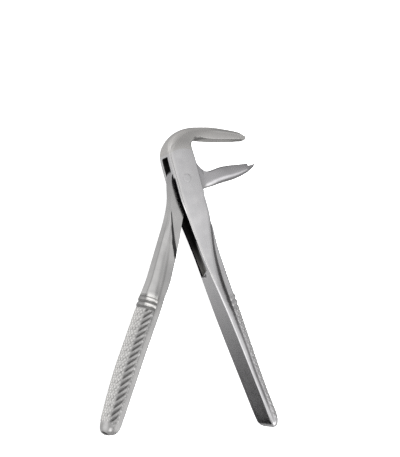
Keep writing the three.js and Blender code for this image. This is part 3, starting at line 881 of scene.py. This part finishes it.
def floor():
    """A plain white floor, which can't be seen from below."""
    mesh = bpy.data.meshes.new("floor")
    corners = [(x * FLOOR_SIZE, y * FLOOR_SIZE, 0) for x, y in ((-1, -1), (1, -1), (1, 1), (-1, 1))]
    mesh.from_pydata(corners, [], [(0, 1, 2, 3)])
    made = bpy.data.objects.new("floor", mesh)
    made.location.z = cad_box[0].z - FLOOR_GAP
    bpy.context.scene.collection.objects.link(made)
    white = bpy.data.materials.new("floor_white")
    n = Nodes(white)
    paint = n.add("ShaderNodeBsdfDiffuse", {"Color": (FLOOR_WHITE, FLOOR_WHITE, FLOOR_WHITE, 1)})
    glow = n.add("ShaderNodeEmission", {"Color": (1, 1, 1, 1), "Strength": FLOOR_GLOW})
    shown = n.add("ShaderNodeAddShader", {0: paint.outputs[0], 1: glow.outputs[0]})
    clear = n.add("ShaderNodeBsdfTransparent")
    below = n.add("ShaderNodeNewGeometry").outputs["Backfacing"]
    either = n.add("ShaderNodeMixShader", {0: below, 1: shown.outputs[0], 2: clear.outputs[0]})
    n.add("ShaderNodeOutputMaterial", {"Surface": either.outputs[0]})
    mesh.materials.append(white)
    made.visible_glossy = False


def overhead_fill():
    """A broad softbox over the forceps, which the steel doesn't reflect as a shape."""
    light = bpy.data.lights.new("overhead_fill", "AREA")
    light.shape = "RECTANGLE"
    light.size = 1.4
    light.size_y = 1.4
    light.energy = 26
    made = bpy.data.objects.new("overhead_fill", light)
    towards = Vector((0.2, 0.1, 1)).normalized()
    made.location = TARGET + towards * 1.2
    made.rotation_mode = "QUATERNION"
    made.rotation_quaternion = towards.to_track_quat("Z", "Y")
    made.visible_glossy = False
    bpy.context.scene.collection.objects.link(made)


# What the steel reflects: an even pale tent, with soft paler and darker panels. Each panel has a
# direction, the angles at which it is full and gone, and how much it adds to the tent.
TENT = 0.5
PANELS = [
    ((0.32, -0.27, 0.91), 15, 42, 0.5),
    ((-0.43, 0.47, 0.77), 10, 38, 0.55),
    ((-0.75, 0.63, -0.17), 25, 60, 0.26),
    ((-0.1, 0.98, 0.17), 10, 40, 0.16),
    ((0.68, -0.57, 0.45), 6, 24, 1.7),
    ((-0.75, -0.43, 0.45), 7, 22, 1.3),
    ((-0.92, -0.16, -0.34), 12, 38, 0.35),
    ((-0.27, -0.58, -0.77), 9, 18, -0.65),
    ((0.77, 0.28, -0.57), 8, 25, -0.3),
    ((-0.6, 0.1, -0.8), 20, 60, 0.15),
    ((0.95, 0.25, 0.17), 15, 40, 0.15),
    ((0.5, -0.86, 0.14), 4, 14, -0.3),
    ((0.63, -0.14, -0.76), 12, 28, -0.32),
]


def world():
    """The tent and its panels as reflections, and plain white behind the object."""
    made = bpy.data.worlds.new("studio")
    bpy.context.scene.world = made
    n = Nodes(made)
    towards = n.add("ShaderNodeTexCoord").outputs["Generated"]
    level = TENT
    for direction, full, gone, amount in PANELS:
        panel = Vector(direction).normalized()
        facing = n.add("ShaderNodeVectorMath", {0: towards, 1: panel}, operation="DOT_PRODUCT")
        shown = n.ramp(facing.outputs["Value"], math.cos(math.radians(gone)),
                       math.cos(math.radians(full)), 0.0, amount, "SMOOTHSTEP")
        level = n.math("ADD", shown, level)
    seen = n.add("ShaderNodeLightPath").outputs["Is Camera Ray"]
    colour = n.add("ShaderNodeMix", {0: seen, 2: level, 3: BACKGROUND}).outputs[0]
    shader = n.add("ShaderNodeBackground", {0: colour}).outputs[0]
    n.add("ShaderNodeOutputWorld", {0: shader})


def camera():
    """The camera looks down on the forceps from their left and slightly from the handles' side."""
    turn, rise = math.radians(30.5), math.radians(9)
    back = Vector((-math.sin(turn) * math.cos(rise), -math.sin(rise), math.cos(turn) * math.cos(rise)))
    right = Vector((math.cos(turn), 0, math.sin(turn)))
    up = back.cross(right)
    data = bpy.data.cameras.new("camera")
    data.sensor_fit = "HORIZONTAL"
    data.sensor_width = 36
    data.lens = 76.5
    made = bpy.data.objects.new("camera", data)
    axes = Matrix((right, up, back)).transposed().to_4x4()
    axes.translation = TARGET + back * 0.45
    made.matrix_world = axes
    bpy.context.scene.collection.objects.link(made)
    bpy.context.scene.camera = made


floor()
world()
overhead_fill()
camera()
bpy.context.scene.view_settings.view_transform = "Standard"
